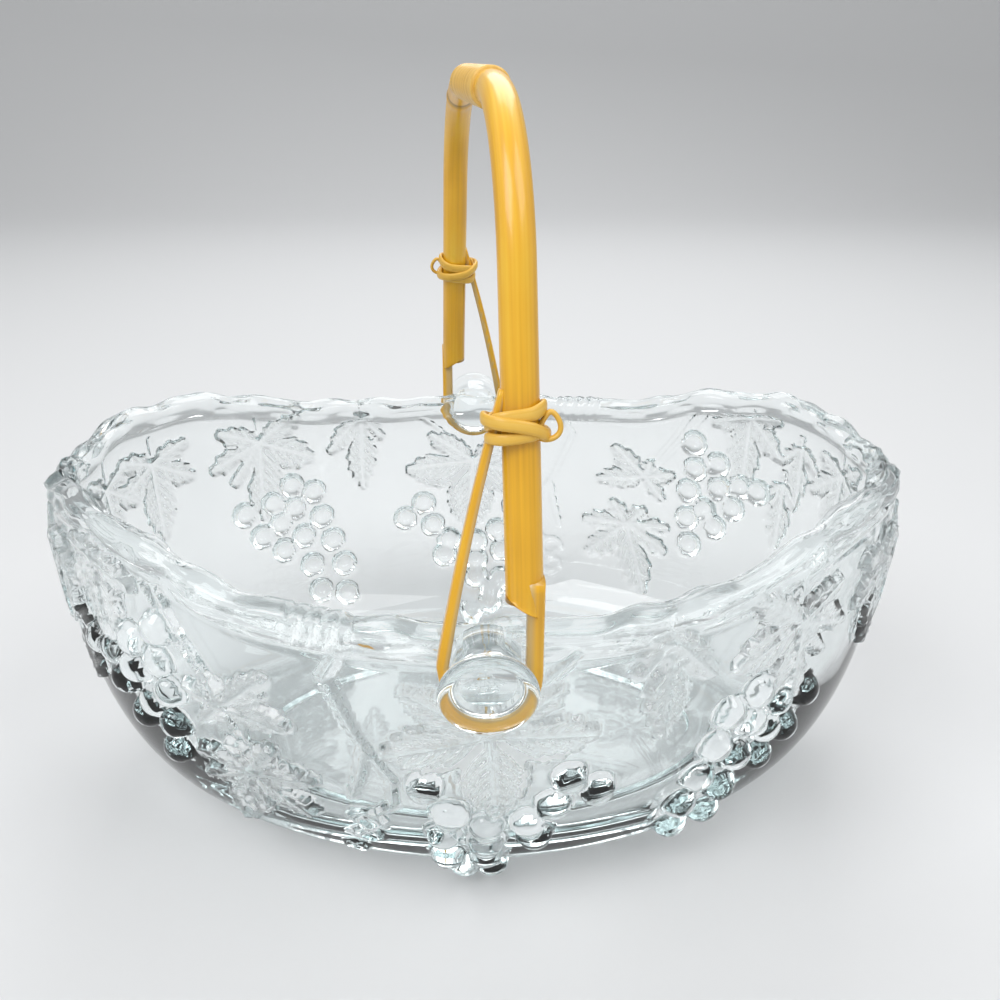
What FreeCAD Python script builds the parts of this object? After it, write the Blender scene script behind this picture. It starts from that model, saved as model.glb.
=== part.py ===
# Oval pressed-glass basket with a vine in relief and a bent bamboo handle.
# Millimetres, +Z up, +X along the long axis, origin on the ground under the middle of the bowl.
# The bowl and its knobs look the same after half a turn about Z, so each ornament is placed twice.

import FreeCAD
import Part
import math
import os

V = FreeCAD.Vector
doc = FreeCAD.newDocument("GlassBasket")

# Driving sizes

SIZES = [
    ("BowlLength", 280.0),
    ("BowlWidth", 197.0),
    ("FootLength", 176.0),
    ("FootWidth", 113.0),
    ("OvalPower", 1.85),
    ("WallPower", 2.7),
    ("RimMiddleHeight", 97.0),
    ("RimEndHeight", 110.0),
    ("RimRisePower", 3.0),
    ("WallThickness", 4.5),
    ("FloorThickness", 6.0),
    ("FootRecess", 1.2),
    ("FootRing", 9.0),
    ("BranchDiameter", 9.0),
    ("BranchKnotGrowth", 0.7),
    ("BranchJoints", 28),
    ("KnobHeight", 92.5),
    ("KnobReach", 13.0),
    ("NeckDiameter", 18.0),
    ("HeadDiameter", 25.0),
    ("HeadThickness", 4.2),
    ("HeadTilt", 10.0),
    ("HeadDish", 1.2),
    ("PoleDiameter", 9.4),
    ("HandleTop", 230.0),
    ("HandleSkew", 4.8),
    ("LegLean", 15.0),
    ("LegFootHeight", 21.0),
    ("LegBendRadius", 60.0),
    ("ShoulderRadius", 50.0),
    ("GripHalfLength", 34.0),
    ("NotchHeight", 18.0),
    ("StripThickness", 2.6),
    ("StripWidth", 6.0),
    ("NeckClearance", 0.4),
    ("HeadClearance", 0.8),
    ("TieHeight", 62.0),
    ("TieTurns", 3),
    ("TieTurnWidth", 3.1),
    ("TieThickness", 1.5),
    ("StripTail", 8.0),
    ("WrapThickness", 0.9),
    ("WrapPitch", 3.4),
]

sheet = doc.addObject("Spreadsheet::Sheet", "Sizes")
for row, (alias, value) in enumerate(SIZES, start=1):
    sheet.set(f"A{row}", alias)
    sheet.set(f"B{row}", repr(value))
    sheet.setAlias(f"B{row}", alias)
doc.recompute()


def size(alias):
    """A driving size, read from the sheet."""
    return float(sheet.get(alias))


def turned_half(shape):
    """The same shape after half a turn about Z."""
    copy = shape.copy()
    copy.rotate(V(0, 0, 0), V(0, 0, 1), 180)
    return copy


def part_feature(name, shape):
    """A document object that holds a shape made with Part's own functions."""
    feature = doc.addObject("Part::Feature", name)
    feature.Shape = shape
    return feature


# Oval wall: every level is a superellipse, and its size grows with height along a rounded profile

def wall_growth(level):
    """How far the wall has opened from the foot (0) to the rim (1) at a level from 0 to 1."""
    power = size("WallPower")
    return (1 - (1 - min(level, 1.0)) ** power) ** (1 / power)


def half_sizes(height, outset=0.0):
    """Half length and half width of the wall's outside at a height."""
    growth = wall_growth(height / size("RimEndHeight"))
    length = size("FootLength") + (size("BowlLength") - size("FootLength")) * growth
    width = size("FootWidth") + (size("BowlWidth") - size("FootWidth")) * growth
    return length / 2 + outset, width / 2 + outset


def oval_point(half_length, half_width, angle, height):
    """A point of the superellipse at an angle in degrees, 0 at +X and 90 at +Y."""
    power = 2 / size("OvalPower")
    cosine, sine = math.cos(math.radians(angle)), math.sin(math.radians(angle))
    x = half_length * math.copysign(abs(cosine) ** power, cosine)
    y = half_width * math.copysign(abs(sine) ** power, sine)
    return V(x, y, height)


def oval_section(name, half_length, half_width, height):
    """A closed oval wire at a height, for a loft."""
    step = 12
    points = [oval_point(half_length, half_width, angle, height) for angle in range(0, 360, step)]
    curve = Part.BSplineCurve()
    curve.interpolate(Points=points, PeriodicFlag=True)
    return part_feature(name, Part.Wire([curve.toShape()]))


def oval_loft(name, sections):
    """A solid through oval sections, each given as half length, half width and height."""
    loft = doc.addObject("Part::Loft", name)
    loft.Sections = [oval_section(f"{name}_section_{i}", *section) for i, section in enumerate(sections)]
    loft.Solid = True
    loft.Ruled = False
    return loft


WALL_LEVELS = (0.0, 0.035, 0.1, 0.2, 0.35, 0.55, 0.8)
RIM_ROOM = 12.0


def outside_loft(name, outset):
    """The wall's outside, moved outwards by an outset, up to a little above the rim."""
    top = size("RimEndHeight")
    heights = [level * top for level in WALL_LEVELS] + [top + RIM_ROOM]
    sections = []
    for height in heights:
        half_length, half_width = half_sizes(height, outset)
        sections.append((half_length, half_width, height))
    return oval_loft(name, sections)


def inside_loft(name):
    """The hollow of the bowl, from the floor up past the rim."""
    top = size("RimEndHeight")
    floor = size("FloorThickness")
    sections = []
    for level in WALL_LEVELS:
        half_length, half_width = half_sizes(level * top, -size("WallThickness"))
        sections.append((half_length, half_width, floor + level * (top - floor)))
    half_length, half_width = half_sizes(top, -size("WallThickness"))
    sections.append((half_length, half_width, top + RIM_ROOM + 1))
    return oval_loft(name, sections)


outside = outside_loft("bowl_outside", 0.0)
hollow = inside_loft("bowl_hollow")
doc.recompute()


# Knobs: a neck and a tilted, dished head on the middle of each long side

def add_knobs():
    """Both knobs, their necks rooted in the wall."""
    knobs = []
    neck_root = half_sizes(size("KnobHeight"))[1] - size("WallThickness") / 2
    head_back = size("BowlWidth") / 2 + size("KnobReach")
    for side in (0, 180):
        turn = FreeCAD.Rotation(V(0, 0, 1), side)
        axis = FreeCAD.Rotation(V(1, 0, 0), 90)
        tilt = FreeCAD.Rotation(V(1, 0, 0), 90 + size("HeadTilt"))
        neck = doc.addObject("Part::Cylinder", f"knob_neck_{side}")
        neck.setExpression("Radius", "Sizes.NeckDiameter / 2")
        neck.Height = head_back - neck_root + size("HeadThickness") / 2
        neck.Placement = FreeCAD.Placement(turn.multVec(V(0, -neck_root, size("KnobHeight"))), turn * axis)
        head = doc.addObject("Part::Cylinder", f"knob_head_{side}")
        head.setExpression("Radius", "Sizes.HeadDiameter / 2")
        head.setExpression("Height", "Sizes.HeadThickness")
        head.Placement = FreeCAD.Placement(turn.multVec(V(0, -head_back, size("KnobHeight"))), turn * tilt)
        soft = doc.addObject("Part::Fillet", f"knob_soft_{side}")
        soft.Base = head
        soft.Edges = [(1, size("HeadThickness") * 0.4, size("HeadThickness") * 0.4),
                      (3, size("HeadThickness") * 0.3, size("HeadThickness") * 0.3)]
        dish = doc.addObject("Part::Sphere", f"knob_dish_{side}")
        dish_radius = size("HeadDiameter") * 0.9
        dish.Radius = dish_radius
        centre = tilt.multVec(V(0, 0, size("HeadThickness") - size("HeadDish") + dish_radius))
        dish.Placement = FreeCAD.Placement(turn.multVec(centre + V(0, -head_back, size("KnobHeight"))), turn)
        dished = doc.addObject("Part::Cut", f"knob_dished_{side}")
        dished.Base = soft
        dished.Tool = dish
        knobs += [neck, dished]
    return knobs


knobs = add_knobs()


# Rim: the wall ends in a wave, and a knotted vine branch runs along it

def rim_height(angle):
    """Height of the branch's middle: level at the knobs, rising towards both ends."""
    rise = size("RimEndHeight") - size("RimMiddleHeight")
    return size("RimMiddleHeight") + rise * (1 - abs(math.sin(math.radians(angle))) ** size("RimRisePower"))


def branch_point(angle):
    """A point of the branch's middle line."""
    inset = size("BranchDiameter") / 2
    half_length, half_width = size("BowlLength") / 2 - inset, size("BowlWidth") / 2 - inset
    return oval_point(half_length, half_width, angle, rim_height(angle))


def branch_section(angle, radius):
    """A round section of the branch, square to its run."""
    along = (branch_point(angle + 1) - branch_point(angle - 1)).normalize()
    return Part.Wire([Part.Circle(branch_point(angle), along, radius).toShape()])


def add_branch():
    """Short twigs from knot to knot, all the way round, each a little thinner before its next knot."""
    count = int(size("BranchJoints"))
    radius = size("BranchDiameter") / 2
    step = 360 / count
    sections = []
    for i in range(count):
        knot = radius + size("BranchKnotGrowth") * (1 - 0.5 * (i % 2))
        sections.append(branch_section(i * step, knot))
        sections.append(branch_section((i + 0.55) * step, radius * 0.9))
    return [part_feature("rim_branch", Part.makeLoft(sections, True, True, True))]


def rim_cutter():
    """All that lies above the wave of the rim, as seen from the long side."""
    half = size("BowlLength") / 2 + RIM_ROOM
    top = size("RimEndHeight") + 3 * RIM_ROOM
    count = 9
    points = []
    for i in range(count):
        branch = branch_point(180 - 180 * i / (count - 1))
        points.append(V(branch.x, -size("BowlWidth"), branch.z))
    wave = Part.BSplineCurve()
    wave.interpolate(points)
    first, last = points[0], points[-1]
    left, right = V(-half, first.y, first.z), V(half, last.y, last.z)
    upper_right, upper_left = V(half, last.y, top), V(-half, first.y, top)
    sides = [Part.LineSegment(a, b).toShape() for a, b in
             ((last, right), (right, upper_right), (upper_right, upper_left), (upper_left, left), (left, first))]
    face = Part.Face(Part.Wire([wave.toShape()] + sides))
    return part_feature("rim_cutter", face.extrude(V(0, 2 * size("BowlWidth"), 0)))


# The bowl itself: relief joined to the wall, then hollowed, trimmed along the rim and given its branch

def add_foot_recess():
    """The shallow recess that leaves a ring to stand on."""
    recess = size("FootRecess")
    half_length = size("FootLength") / 2 - size("FootRing")
    half_width = size("FootWidth") / 2 - size("FootRing")
    sections = [(half_length, half_width, -1.0), (half_length, half_width, 0.0),
                (half_length - recess, half_width - recess, recess)]
    loft = oval_loft("foot_recess", sections)
    loft.Ruled = True
    return loft


hollowed = doc.addObject("Part::Cut", "hollowed")
hollowed.Base = outside
hollowed.Tool = hollow
trimmed = doc.addObject("Part::Cut", "trimmed")
trimmed.Base = hollowed
trimmed.Tool = rim_cutter()
recessed = doc.addObject("Part::Cut", "recessed")
recessed.Base = trimmed
recessed.Tool = add_foot_recess()
glass_bowl = doc.addObject("Part::MultiFuse", "glass_bowl")
glass_bowl.Shapes = [recessed] + knobs + add_branch()
glass_bowl.Label = "glass_bowl"


# Handle: one pole bent into an arch, in a plane turned a little from the knobs' axis

def leg_base():
    """Distance of the pole's straight foot from the middle, along the knobs' axis."""
    return size("BowlWidth") / 2 + size("KnobReach") - size("HeadClearance") - size("StripWidth") / 2 - 1.5


def arch_points():
    """Corner points of the arch's middle line in its own plane, as distance from the middle and height."""
    lean = math.radians(size("LegLean"))
    top = size("HandleTop") - size("PoleDiameter") / 2
    foot = size("KnobHeight") + size("LegFootHeight")
    base = leg_base()
    shoulder = base - (top - foot) * math.tan(lean)
    return base, foot, shoulder, top


def arch_solid(radius):
    """A round bar along the arch: straight runs joined by tangent bends."""
    base, foot, shoulder, top = arch_points()
    start = size("KnobHeight") + size("NotchHeight")
    points = [V(0, -base, start), V(0, -base, foot), V(0, -shoulder, top),
              V(0, shoulder, top), V(0, base, foot), V(0, base, start)]
    bends = [size("LegBendRadius"), size("ShoulderRadius"), size("ShoulderRadius"), size("LegBendRadius")]
    pieces = []
    last = points[0]
    for before, corner, after, bend in zip(points, points[1:], points[2:], bends):
        back = (before - corner).normalize()
        onward = (after - corner).normalize()
        opening = back.getAngle(onward)
        cut = bend / math.tan(opening / 2)
        run_end = corner + back * cut
        pieces.append(Part.makeCylinder(radius, (run_end - last).Length, last, run_end - last))
        centre = corner + (back + onward).normalize() * (bend / math.sin(opening / 2))
        disc = Part.Face(Part.Wire([Part.Circle(run_end, corner - run_end, radius).toShape()]))
        pieces.append(disc.revolve(centre, onward.cross(back), 180 - math.degrees(opening)))
        last = corner + onward * cut
    pieces.append(Part.makeCylinder(radius, (points[-1] - last).Length, last, points[-1] - last))
    return pieces[0].multiFuse(pieces[1:])


def skewed(shape):
    """The arch's plane turned about Z, so that each leg passes beside its knob."""
    copy = shape.copy()
    copy.rotate(V(0, 0, 0), V(0, 0, 1), size("HandleSkew"))
    return copy


def strip_sizes():
    """Inner radius of the loop under the neck, its outer radius and the pole's offset at the knob."""
    inner = size("NeckDiameter") / 2 + size("NeckClearance")
    outer = inner + size("StripThickness")
    offset = leg_base() * math.tan(math.radians(size("HandleSkew")))
    return inner, outer, offset


def loop_solid():
    """The pared strip: down the neck's right side, under it and up its left side, seen from outside."""
    inner, outer, offset = strip_sizes()
    knob = size("KnobHeight")
    notch = knob + size("NotchHeight")
    right_out = offset + size("PoleDiameter") / 2
    base = leg_base()
    near = -base - size("StripWidth") / 2

    def at(x, z):
        return V(x, near, z)

    pieces = [
        Part.LineSegment(at(inner, knob), at(inner, notch + 3)).toShape(),
        Part.LineSegment(at(inner, notch + 3), at(right_out, notch + 3)).toShape(),
        Part.LineSegment(at(right_out, notch + 3), at(right_out, notch - 4)).toShape(),
        Part.LineSegment(at(right_out, notch - 4), at(outer, knob)).toShape(),
        Part.Arc(at(outer, knob), at(0, knob - outer), at(-outer, knob)).toShape(),
        Part.LineSegment(at(-outer, knob), at(-outer, knob + 4)).toShape(),
        Part.LineSegment(at(-outer, knob + 4), at(-inner, knob + 4)).toShape(),
        Part.LineSegment(at(-inner, knob + 4), at(-inner, knob)).toShape(),
        Part.Arc(at(-inner, knob), at(0, knob - inner), at(inner, knob)).toShape(),
    ]
    return Part.Face(Part.Wire(pieces)).extrude(V(0, size("StripWidth"), 0))


def leg_point(rise):
    """Middle of the leaning front leg at a rise above the knobs."""
    base, foot, shoulder, top = arch_points()
    height = size("KnobHeight") + rise
    y = -base + (height - foot) * math.tan(math.radians(size("LegLean")))
    skew = FreeCAD.Rotation(V(0, 0, 1), size("HandleSkew"))
    return skew.multVec(V(0, y, height))


def strip_solid():
    """The strip's free run, from the loop's left side up to the tie and a little past it."""
    inner, outer, offset = strip_sizes()
    knob = size("KnobHeight")
    half_width = size("StripWidth") / 2
    thick = size("StripThickness")
    low = V(-(inner + outer) / 2, -leg_base(), knob + 3)
    tie = leg_point(size("TieHeight"))
    high = tie + V(-size("PoleDiameter") / 2 - thick / 2, 0, 0)
    direction = (high - low).normalize()
    end = high + direction * size("StripTail")
    sections = []
    for place, half in ((low, half_width), (end, half_width * 0.6)):
        corners = [place + V(dx, dy, 0) for dx, dy in
                   ((-thick / 2, -half), (thick / 2, -half), (thick / 2, half), (-thick / 2, half))]
        sections.append(Part.makePolygon(corners + corners[:1]))
    return Part.makeLoft(sections, True, True)


def add_handle():
    """The bamboo pole with a loop and a strip at each foot."""
    pole = skewed(arch_solid(size("PoleDiameter") / 2))
    side = loop_solid().fuse(strip_solid())
    shape = pole.multiFuse([side, turned_half(side)]).removeSplitter()
    handle = part_feature("bamboo_handle", shape)
    handle.Label = "bamboo_handle"
    return handle


handle = add_handle()


# Ties: flat turns of cane round the pole and the strip's end

def stadium(half_span, radius, height):
    """A wire like a running track round two places half_span to each side of the middle."""
    left, right = -half_span, half_span
    return Part.Wire([
        Part.LineSegment(V(left, -radius, height), V(right, -radius, height)).toShape(),
        Part.Arc(V(right, -radius, height), V(right + radius, 0, height), V(right, radius, height)).toShape(),
        Part.LineSegment(V(right, radius, height), V(left, radius, height)).toShape(),
        Part.Arc(V(left, radius, height), V(left - radius, 0, height), V(left, -radius, height)).toShape(),
    ])


def tie_turn(half_span, inner, low, width, thickness):
    """One turn of cane, with its outside a little crowned."""
    middle = low + width / 2
    skin = [stadium(half_span, inner + thickness * bulge, height) for bulge, height in
            ((0.7, low), (1.0, middle), (0.7, low + width))]
    solid = Part.makeLoft(skin, True, True)
    core = Part.Face(stadium(half_span, inner, low - 1)).extrude(V(0, 0, width + 2))
    return solid.cut(core)


def tie_shape():
    """The front tie: turns stacked along the leaning pole, cut where the pole and the strip pass."""
    turns = int(size("TieTurns"))
    width = size("TieTurnWidth")
    half_span = size("StripThickness") / 2
    inner = size("PoleDiameter") / 2
    low = -turns * width / 2
    rings = [tie_turn(half_span, inner, low + i * width * 0.97, width, size("TieThickness"))
             for i in range(turns)]
    shape = rings[0].multiFuse(rings[1:])
    rotation = FreeCAD.Rotation(V(0, 0, 1), size("HandleSkew")) * FreeCAD.Rotation(V(1, 0, 0), -size("LegLean"))
    place = leg_point(size("TieHeight")) + V(-half_span, 0, 0)
    shape.Placement = FreeCAD.Placement(place, rotation)
    return shape


def add_tie(name, turn):
    """A tie on the front leg, or half a turn round on the rear leg."""
    shape = tie_shape() if turn == 0 else turned_half(tie_shape())
    tie = part_feature(name, shape.cut(handle.Shape))
    tie.Label = name
    return tie


front_tie = add_tie("front_tie", 0)
rear_tie = add_tie("rear_tie", 180)


# Grip: cane wound round the level top of the arch, one ridge for each turn

def add_wrap():
    """A ridged sleeve, turned about the level stretch of the pole."""
    radius = size("PoleDiameter") / 2
    thick = size("WrapThickness")
    half = size("GripHalfLength")
    turns = round(2 * half / size("WrapPitch"))
    pitch = 2 * half / turns
    top = arch_points()[3]
    points = [V(0, -half, radius)]
    for i in range(turns):
        points.append(V(0, -half + pitch * i, radius + thick * 0.55))
        points.append(V(0, -half + pitch * (i + 0.5), radius + thick))
    points += [V(0, half, radius + thick * 0.55), V(0, half, radius)]
    face = Part.Face(Part.makePolygon(points + points[:1]))
    sleeve = face.revolve(V(0, 0, 0), V(0, 1, 0), 360)
    sleeve.translate(V(0, 0, top))
    wrap = part_feature("grip_wrap", skewed(sleeve))
    wrap.Label = "grip_wrap"
    return wrap


grip_wrap = add_wrap()
doc.recompute()

# Check every object, then write each sub-part

for item in doc.Objects:
    if "Invalid" in item.State or "Error" in item.State:
        raise RuntimeError(f"{item.Name} failed: {item.State}")

os.makedirs("parts", exist_ok=True)
for item in (glass_bowl, handle, front_tie, rear_tie, grip_wrap):
    shape = item.Shape
    if shape.isNull() or not shape.isValid():
        raise RuntimeError(f"{item.Label} has no valid shape")
    print(item.Label, "solids", len(shape.Solids), "faces", len(shape.Faces), "volume", round(shape.Volume))
    shape.exportStep(f"parts/{item.Label}.step")
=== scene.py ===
"""Glass basket: an oval bowl of pressed glass with a vine in relief, and a bent bamboo handle.

Metres, +Z up, +X along the bowl's long axis, origin on the ground under the middle of the bowl.
The basket matches itself after half a turn about Z, so each ornament is given once and set twice.
"""

import logging
import math
from dataclasses import dataclass, field
from enum import Enum

import bmesh
import bpy
import numpy as np
from mathutils import Euler, Matrix, Vector


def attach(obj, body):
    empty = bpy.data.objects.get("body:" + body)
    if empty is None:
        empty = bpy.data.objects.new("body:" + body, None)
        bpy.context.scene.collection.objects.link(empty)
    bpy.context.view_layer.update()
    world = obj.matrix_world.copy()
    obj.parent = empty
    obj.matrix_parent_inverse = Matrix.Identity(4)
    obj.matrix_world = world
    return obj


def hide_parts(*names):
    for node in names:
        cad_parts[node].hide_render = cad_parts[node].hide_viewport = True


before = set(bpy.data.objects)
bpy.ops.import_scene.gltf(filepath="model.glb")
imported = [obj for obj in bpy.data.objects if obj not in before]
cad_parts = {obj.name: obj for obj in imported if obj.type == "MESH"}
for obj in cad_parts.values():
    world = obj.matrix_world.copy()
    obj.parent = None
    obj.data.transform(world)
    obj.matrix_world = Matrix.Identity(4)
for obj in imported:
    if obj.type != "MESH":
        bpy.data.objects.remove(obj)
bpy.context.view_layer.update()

MM = 0.001
TINY = 1e-12
HALF_TURN = Matrix.Rotation(math.pi, 4, "Z")
log = logging.getLogger("glass_basket")


# Shapes of the bowl's wall

@dataclass(frozen=True)
class OvalWall:
    """The outside of the bowl's wall: each level is an oval that grows from the foot to the rim."""

    length: float = 280 * MM
    width: float = 197 * MM
    foot_length: float = 176 * MM
    foot_width: float = 113 * MM
    oval_power: float = 1.85
    wall_power: float = 2.7
    full_height: float = 110 * MM

    def growth(self, height: np.ndarray) -> np.ndarray:
        """How far the wall has opened at a height, from 0 at the foot to 1 at the rim."""
        level = np.clip(np.asarray(height, float) / self.full_height, 0, 1)
        return (1 - (1 - level) ** self.wall_power) ** (1 / self.wall_power)

    def half_sizes(self, height: np.ndarray) -> tuple[np.ndarray, np.ndarray]:
        """Half length and half width of the outside at a height."""
        growth = self.growth(height)
        half_length = (self.foot_length + (self.length - self.foot_length) * growth) / 2
        half_width = (self.foot_width + (self.width - self.foot_width) * growth) / 2
        return half_length, half_width

    def oval(self, half_length: np.ndarray, half_width: np.ndarray, angle: np.ndarray,
             height: np.ndarray) -> np.ndarray:
        """Points of an oval at angles in degrees, 0 at +X and 90 at +Y.

        Args:
            half_length: Half of the oval's size along X.
            half_width: Half of the oval's size along Y.
            angle: Angles in degrees.
            height: Heights of the points.

        Returns:
            An array whose last axis is x, y and z.
        """
        power = 2 / self.oval_power
        cosine, sine = np.cos(np.radians(angle)), np.sin(np.radians(angle))
        x = half_length * np.sign(cosine) * np.abs(cosine) ** power
        y = half_width * np.sign(sine) * np.abs(sine) ** power
        return np.stack(np.broadcast_arrays(x, y, height), axis=-1)

    def point(self, angle: np.ndarray, height: np.ndarray) -> np.ndarray:
        """Points of the outside of the wall."""
        half_length, half_width = self.half_sizes(height)
        return self.oval(half_length, half_width, angle, height)

    def local_frame(self, angle: float, height: float) -> tuple[np.ndarray, np.ndarray, np.ndarray]:
        """A place on the wall, and the directions to its right and up the wall, seen from outside."""
        step = 0.5
        place = self.point(angle, height)
        across = self.point(angle + step, height) - self.point(angle - step, height)
        rise = self.point(angle, height + step * MM) - self.point(angle, max(height - step * MM, 0))
        across, rise = across / np.linalg.norm(across), rise / np.linalg.norm(rise)
        outwards = np.cross(across, rise)
        up = np.cross(outwards / np.linalg.norm(outwards), across)
        return place, across, up

    def front_angle(self, x: float, height: float) -> float:
        """The angle on the front side at which the wall has a given x."""
        share = min(abs(x) / float(self.half_sizes(height)[0]), 1.0)
        cosine = math.copysign(share ** (self.oval_power / 2), x)
        return 360 - math.degrees(math.acos(cosine))


WALL = OvalWall()


# Relief: leaves, grapes, stems and tendrils as heights above the wall

def nearest_on_path(points: np.ndarray, path: np.ndarray) -> tuple[np.ndarray, np.ndarray, np.ndarray]:
    """Nearest place on a path of straight runs, for each of many points.

    Args:
        points: The points, one a row, in two or three dimensions.
        path: The path's corners, one a row.

    Returns:
        The distances, the nearest places, and how far along the path they lie, from 0 to 1.
    """
    best = np.full(len(points), np.inf)
    place = np.zeros_like(points)
    along = np.zeros(len(points))
    runs = np.linalg.norm(np.diff(path, axis=0), axis=1)
    total, passed = runs.sum(), 0.0
    for start, end, run in zip(path[:-1], path[1:], runs):
        direction = (end - start) / max(run, TINY)
        reach = np.clip((points - start) @ direction, 0, run)
        foot = start + reach[:, None] * direction
        distance = np.linalg.norm(points - foot, axis=1)
        nearer = distance < best
        best[nearer], place[nearer] = distance[nearer], foot[nearer]
        along[nearer] = (passed + reach[nearer]) / total
        passed += run
    return best, place, along


def inside_outline(points: np.ndarray, outline: np.ndarray) -> np.ndarray:
    """Which flat points lie inside a closed outline."""
    inside = np.zeros(len(points), bool)
    for start, end in zip(outline[:-1], outline[1:]):
        spans = (start[1] > points[:, 1]) != (end[1] > points[:, 1])
        slope = (end[0] - start[0]) / ((end[1] - start[1]) or TINY)
        inside ^= spans & (points[:, 0] < start[0] + (points[:, 1] - start[1]) * slope)
    return inside


def smooth_rise(value: np.ndarray) -> np.ndarray:
    """0 below 0, 1 above 1, and a smooth rise between."""
    share = np.clip(value, 0, 1)
    return share * share * (3 - 2 * share)


@dataclass
class ReliefSheet:
    """The wall's outside as a sheet of points, and what the ornaments do to it.

    Each ornament is set once. `both_halves` then sets all of them again half a turn round.
    """

    points: np.ndarray
    cell: float
    height: np.ndarray = field(init=False)
    slide: np.ndarray = field(init=False)
    frost: np.ndarray = field(init=False)

    def __post_init__(self) -> None:
        """Starts with a bare wall."""
        self.height = np.zeros(self.points.shape[:2])
        self.slide = np.zeros(self.points.shape)
        self.frost = np.zeros(self.points.shape[:2])

    def near(self, place: np.ndarray, reach: float) -> tuple[np.ndarray, np.ndarray]:
        """Rows and columns of the points within reach of a place."""
        return np.nonzero(np.linalg.norm(self.points - place, axis=-1) < reach)

    def raise_to(self, index: tuple, height: np.ndarray) -> None:
        """Raises points to a height, where they are lower."""
        self.height[index] = np.maximum(self.height[index], height)

    def both_halves(self) -> None:
        """Repeats everything half a turn round."""
        half = self.points.shape[1] // 2
        self.height = np.maximum(self.height, np.roll(self.height, half, axis=1))
        self.frost = np.maximum(self.frost, np.roll(self.frost, half, axis=1))
        turned = np.roll(self.slide, half, axis=1) * np.array([-1.0, -1.0, 1.0])
        self.slide = self.slide + turned


@dataclass(frozen=True)
class Lobe:
    """One lobe of a vine leaf: its direction in degrees from the right, and its reach from the stem."""

    direction: float
    reach: float


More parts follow.
